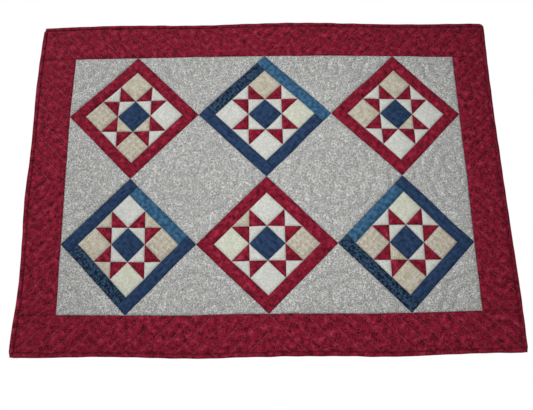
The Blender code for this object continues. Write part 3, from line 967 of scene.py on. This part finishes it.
SIDES = (("top", 0, 1), ("bottom", 0, -1), ("left", -1, 0), ("right", 1, 0))
border_lines = []
for name, side_u, side_v in SIDES:
    inner, outer, end = (MIDDLE_V, EDGE_V, EDGE_U) if side_v else (MIDDLE_U, EDGE_U, MIDDLE_V)
    paths = []
    for run in range(-math.ceil((end + outer) / BORDER_STEP), math.ceil(end / BORDER_STEP) + 1):
        offset = run * BORDER_STEP
        first, last = max(inner, -offset), min(outer, end - offset)
        if last - first < SHORTEST_LINE:
            continue
        for mirror in (-1, 1):
            ends = [(mirror * (across + offset), across) for across in (first, last)]
            paths.append(np.array([on_side(side_u, side_v, *place) for place in ends]))
    border_lines += paths
    corners = [on_side(side_u, side_v, *place) for place in ((-end, inner), (end, outer))]
    (low_u, high_u), (low_v, high_v) = (sorted(pair) for pair in zip(*corners))
    piece = sewn(
        f"border_{name}_cloth",
        [patch((low_u, low_v), (1, 0), even_cells(low_u, high_u), even_cells(low_v, high_v),
               stitched=paths, coarse=28 if side_v else 2)],
        [red],
    )
    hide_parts(f"border_{name}")

# Backing: one plain off-white cotton cloth over the whole back. The quilting goes through
# it, so it is drawn in along each line and seam and puffs out softly between them.
BACKING_INSIDE = 0.0009
BACKING_DRAWN = 0.0007
BACKING_STEP = 0.0042
BACKING_PUCKER = 0.00006
UNDER_BINDING = 0.0016


def puffed_back(u, v, away, along, seam):
    """The backing's distance in front of the hang: nothing between lines, some on a line."""
    return BACKING_DRAWN * (1 - risen(away)) - BACKING_PUCKER * puckered(u, v, away, along)


def unprinted(tree, threads):
    """Natural off-white, with the odd darker fleck of seed left in the yarn."""
    flecks = stretched_noise(tree, threads, 0.0030, 0.0012, 2.0)
    flecks = between(tree, flecks, 0.70, 0.76)
    return blended(tree, flecks, dye(196, 194, 184), dye(176, 166, 146))


backing_cotton = cotton("unprinted backing cotton", unprinted)
seam_lines = []
for name, across, up, *_ in BLOCKS:
    centre = middle_of(across, up)
    for half in (SQUARE / 2, STAR / 2, BLOCK / 2):
        reach = STAR / 2 if half == SQUARE / 2 else half
        for sign in (-1, 1):
            seam_lines.append(np.array([in_block(centre, sign * half, b) for b in (-reach, reach)]))
            seam_lines.append(np.array([in_block(centre, a, sign * half) for a in (-reach, reach)]))
    for turn, lean in product(range(4), (-1, 1)):
        way = way_at(turn * math.pi / 2)
        turned = np.array([way, (-way[1], way[0])])
        ends = np.array([(SQUARE / 2, -lean * SQUARE / 2), (STAR / 2, lean * SQUARE / 2)]) @ turned
        seam_lines.append(np.array([in_block(centre, *end) for end in ends]))
for side_u, side_v in product((-1, 1), repeat=2):
    seam_lines.append(np.array([(side_u * MIDDLE_U, -MIDDLE_V), (side_u * MIDDLE_U, MIDDLE_V)]))
    seam_lines.append(np.array([(-EDGE_U, side_v * MIDDLE_V), (EDGE_U, side_v * MIDDLE_V)]))


def inside_piece(path, centre):
    """The parts of a path that lie on its own grey piece."""
    inside = abs(path - centre).sum(1) <= TIP / 2
    inside &= (abs(path[:, 0]) <= MIDDLE_U) & (abs(path[:, 1]) <= MIDDLE_V)
    cuts = np.nonzero(np.diff(inside.astype(int)))[0] + 1
    parts = zip(np.split(path, cuts), np.split(inside, cuts))
    return [part for part, kept in parts if kept[0] and len(part) > 2]


petal_lines = [
    part for centre, paths in grey_lines for path in paths for part in inside_piece(path, centre)
]
through_lines = seam_lines + petal_lines + border_lines
low_u, low_v = UNDER_BINDING - HALF_U, UNDER_BINDING - HALF_V
backing_steps = [steps_along(-2 * low, BACKING_STEP) for low in (low_u, low_v)]
backing = sewn(
    "backing",
    [patch((low_u, low_v), (1, 0), *backing_steps, stitched=through_lines, step=BACKING_STEP,
           surface=puffed_back, under=BACKING_INSIDE, coarse=30, behind=True)],
    [backing_cotton],
)

# Quilting: lines of cotton thread stitched through all three layers. The border's are a pale
# pink that shows on the red, the petals' are grey, and those in the seams show behind only.
STITCH_PITCH, STITCH_LENGTH = 0.0029, 0.0025
FIRST_STITCH_AT = 0.1
THREAD_RADIUS = 0.00022
STITCH_ROWS = (
    # share of the stitch, height over the cloth, radius
    (0.0, -0.00030, 0.6),
    (0.22, 0.00010, 1.0),
    (0.78, 0.00010, 1.0),
    (1.0, -0.00030, 0.6),
)
STITCH_ROWS_BEHIND = (
    # the same of a stitch behind
    (0.0, -0.00025, 0.7),
    (0.5, 0.00014, 1.0),
    (1.0, -0.00025, 0.7),
)
ROUND_THREAD = 4
UNEVEN_STITCH = 0.05


def run_of(path):
    """How far along a path each of its points lies."""
    return np.concatenate([[0], np.cumsum(np.linalg.norm(np.diff(path, axis=0), axis=1))])


def tube_faces(rings, ring, turned=False):
    """Faces between each ring of points and the next, and over both ends."""
    number = np.arange(rings * ring).reshape(rings, ring)
    after = np.roll(number, -1, axis=1)
    faces = np.stack([number[:-1], number[1:], after[1:], after[:-1]], -1).reshape(-1, 4).tolist()
    faces += [number[0].tolist(), number[-1][::-1].tolist()]
    return [face[::-1] for face in faces] if turned else faces


def tube(name, points, faces, threads, near, cloth):
    """An object of one or more tubes of one cloth."""
    made = {"points": points.reshape(-1, 3), "faces": faces, "threads": threads.reshape(-1, 2)}
    return sewn(name, [{**made, "near": near.ravel(), "cloth": 0}], [cloth])


def stitches(name, paths, surface, thread, behind=False, seed=4):
    """Short arched threads along the paths: each is a few rings of four points, capped."""
    draw = np.random.default_rng(seed)
    starts, ends = [], []
    for path in paths:
        run = run_of(path)
        count = int(run[-1] / STITCH_PITCH)
        if count < 1:
            continue
        begin = np.arange(count) + FIRST_STITCH_AT + UNEVEN_STITCH * draw.uniform(-1, 1, count)
        begin = begin * run[-1] / count
        finish = begin + STITCH_LENGTH * (1 + UNEVEN_STITCH * draw.uniform(-1, 1, count))
        starts.append(np.stack([np.interp(begin, run, path[:, k]) for k in (0, 1)], -1))
        ends.append(np.stack([np.interp(finish, run, path[:, k]) for k in (0, 1)], -1))
    start, end = np.concatenate(starts), np.concatenate(ends)
    way = (end - start) / np.maximum(np.linalg.norm(end - start, axis=1), GAP)[:, None]
    side = np.stack([-way[:, 1], way[:, 0]], -1)
    ring = np.arange(ROUND_THREAD) * 2 * np.pi / ROUND_THREAD
    share, height, swell = np.array(STITCH_ROWS_BEHIND if behind else STITCH_ROWS).T
    places = start[:, None] + (end - start)[:, None] * share[:, None]
    radius = THREAD_RADIUS * swell[:, None]
    plan = places[:, :, None] + side[:, None, None] * (radius * np.cos(ring))[None, :, :, None]
    u, v = plan[..., 0], plan[..., 1]
    out = -1 if behind else 1
    level = surface + out * (height[None, :, None] + (radius * np.sin(ring))[None])
    one = np.array(tube_faces(len(share), ROUND_THREAD, turned=not behind))
    first = np.arange(len(start)) * len(share) * ROUND_THREAD
    faces = (first[:, None, None] + one).reshape(-1, 4).tolist()
    threads = np.stack(np.broadcast_arrays(share[:, None] * STITCH_LENGTH, ring), -1)
    threads = np.tile(threads, (len(start), 1, 1))
    return tube(name, in_space(u, v, level), faces, threads, np.zeros(u.size), thread)


PLY_LENGTH, PLY_DEPTH = 0.0009, 0.00004
PLY_SHADE = 0.7


def spun(name, colour):
    """Quilting thread: smooth cotton of two plies, which show as slanting ridges, with painted
    shade in the grooves between them.
    """
    material, tree, shader, threads = blank_material(name)
    parts = add(tree, "ShaderNodeSeparateXYZ", threads).outputs
    turn = math_node(tree, "MULTIPLY_ADD", parts[0], 2 * math.pi / PLY_LENGTH, parts[1])
    ridge = math_node(tree, "SINE", turn)
    # Painted shade: the colour darkens in the grooves between the plies
    shade = between(tree, ridge, -1.0, 0.4)
    painted_shade = [PLY_SHADE * part for part in colour[:3]] + [1]
    tree.links.new(blended(tree, shade, painted_shade, colour), shader.inputs["Base Color"])
    raise_surface(tree, shader, ridge, PLY_DEPTH)
    shader.inputs["Roughness"].default_value = 0.55
    shader.inputs["Specular IOR Level"].default_value = 0.3
    shader.inputs["Sheen Weight"].default_value = 0.2
    return material


pink_thread = spun("pink thread", dye(196, 118, 134))
grey_thread = spun("grey thread", dye(170, 170, 168))
red_thread = spun("red thread", dye(118, 26, 46))
white_thread = spun("off-white thread", dye(200, 199, 190))
stitches("border_quilting", border_lines, THIN, pink_thread)
stitches("petal_quilting", petal_lines, THIN, grey_thread)
stitches("border_quilting_behind", border_lines, BACKING_DRAWN, pink_thread, behind=True)
stitches("petal_quilting_behind", petal_lines, BACKING_DRAWN, grey_thread, behind=True)
stitches("ditch_quilting_behind", seam_lines, BACKING_DRAWN, white_thread, behind=True)

# Binding: a narrow doubled strip of the red cloth folded over the raw edge all round. It is
# sewn down through the front, turned over the edge, and hemmed by hand to the backing. Two
# corners leave a folded end sticking out, and one a bit of thread.
BINDING_FOLD = (
    # distance out from the inner edge, distance in front of the hang, front to back
    (-0.0008, 0.0017),
    (-0.0009, 0.0024),
    (0.0002, 0.0034),
    (0.0017, 0.0042),
    (0.0038, 0.0046),
    (0.0059, 0.0043),
    (0.0077, 0.0034),
    (0.0087, 0.0023),
    (0.0089, 0.0011),
    (0.0081, 0.0001),
    (0.0061, -0.0003),
    (0.0036, -0.0004),
    (0.0011, -0.0002),
    (-0.0004, 0.0004),
)
BINDING_CLOTH = 0.0006
BINDING_STEP = 0.0030
BINDING_UNEVEN, BINDING_LUMP = 0.05, 0.030
# Painted shade: the binding's raised stitch mask darkens its inner edge, where it meets the border,
# and the folded ends' mask darkens them all over; both also deepen the creases
BINDING_SHADE = 3.4
END_LEVEL = 0.0024
END_ROWS, END_ROUND = 9, 12
END_CREASES, END_CREASE_DEPTH = 3, 0.15
END_SHUT = 0.01
END_SHADE = 0.8


def tucked_end(name, start, finish, width, thick, cloth):
    """A folded end that sticks out between two plan points: an oval section carried along the
    way between them, which swells as the square root of a half sine and closes at both ends."""
    shares, turns = np.linspace(0, 1, END_ROWS), np.arange(END_ROUND) * 2 * np.pi / END_ROUND
    share, ring = np.meshgrid(shares, turns, indexing="ij")
    start, finish = np.array(start), np.array(finish)
    way = (finish - start) / np.linalg.norm(finish - start)
    swell = np.sqrt(np.sin(np.pi * np.clip(share, END_SHUT, 1 - END_SHUT)))
    swell = swell * (1 + END_CREASE_DEPTH * np.cos(END_CREASES * ring))
    plan = start + share[..., None] * (finish - start)
    plan = plan + np.array([-way[1], way[0]]) * (swell * np.cos(ring) * width / 2)[..., None]
    level = END_LEVEL + swell * np.sin(ring) * thick / 2
    points = in_space(plan[..., 0], plan[..., 1], level)
    faces = tube_faces(END_ROWS, END_ROUND, turned=True)
    threads = np.stack([share * np.linalg.norm(finish - start), ring * width / 6], -1)
    # The end's stitch mask: on cotton it gives painted shade all over
    return tube(name, points, faces, threads, np.full(share.size, END_SHADE), cloth)


tucked_ends = {
    # beside each strip: a bit of it that its corner left out
    "top": [tucked_end("binding_end_top_left", (0.0030 - HALF_U, HALF_V - 0.0012),
                       (-0.0024 - HALF_U, HALF_V - 0.0006), 0.0026, 0.0020, red)],
    "right": [tucked_end("binding_end_top_right", (HALF_U - 0.0024, HALF_V - 0.0052),
                         (HALF_U + 0.0012, HALF_V - 0.0060), 0.0022, 0.0020, red)],
    "bottom": [tucked_end("thread_end_bottom_left", (0.0156 - HALF_U, 0.0010 - HALF_V),
                          (0.0164 - HALF_U, -0.0024 - HALF_V), 0.0006, 0.0006, grey_thread)],
}

outer_fold = np.array(BINDING_FOLD)
way = np.gradient(outer_fold, axis=0)
inwards = np.stack([way[:, 1], -way[:, 0]], -1) / np.linalg.norm(way, axis=1)[:, None]
fold = np.concatenate([outer_fold, (outer_fold + BINDING_CLOTH * inwards)[::-1]])

# The hem: small slanting stitches that catch the folded strip to the backing
HEM_PITCH, HEM_REACH, HEM_LEAN = 0.0058, 0.0013, 0.0024
HEM_LEVEL = 0.0003
all_hems = []
for name, side_u, side_v in SIDES:
    inner, end = (EDGE_V, EDGE_U) if side_v else (EDGE_U, EDGE_V)
    out, level = fold.T
    count = round(2 * end / BINDING_STEP)
    along = np.linspace(-1, 1, count + 1)[:, None] * (end + out)
    lumps = 1 + BINDING_UNEVEN * hills(along, 0 * along + side_u, BINDING_LUMP, 11)
    across = inner + out * lumps
    points = in_space(*on_side(side_u, side_v, along, across), level * lumps)
    faces = tube_faces(count + 1, len(fold), turned=side_v < 0 or side_u > 0)
    threads = np.stack([along, run_of(fold) + 0 * along], -1) + PLACE_IN_CLOTH.uniform(0, 1, 2)
    # Painted shade along the strip's inner edge, from its raised stitch mask
    near = BINDING_SHADE * np.exp(-((out / NEAR_STITCH) ** 2) + 0 * along)
    strip = tube(f"binding_{name}_strip", points, faces, threads, near, red)
    for place in np.arange(HEM_PITCH - end, end - HEM_PITCH, HEM_PITCH):
        ends = (place, inner - HEM_REACH), (place + HEM_LEAN, inner + HEM_REACH)
        all_hems.append(np.array([on_side(side_u, side_v, *point) for point in ends]))
    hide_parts(f"binding_{name}")

stitches("hem_stitches_behind", all_hems, HEM_LEVEL, red_thread, behind=True, seed=6)

low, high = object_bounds()
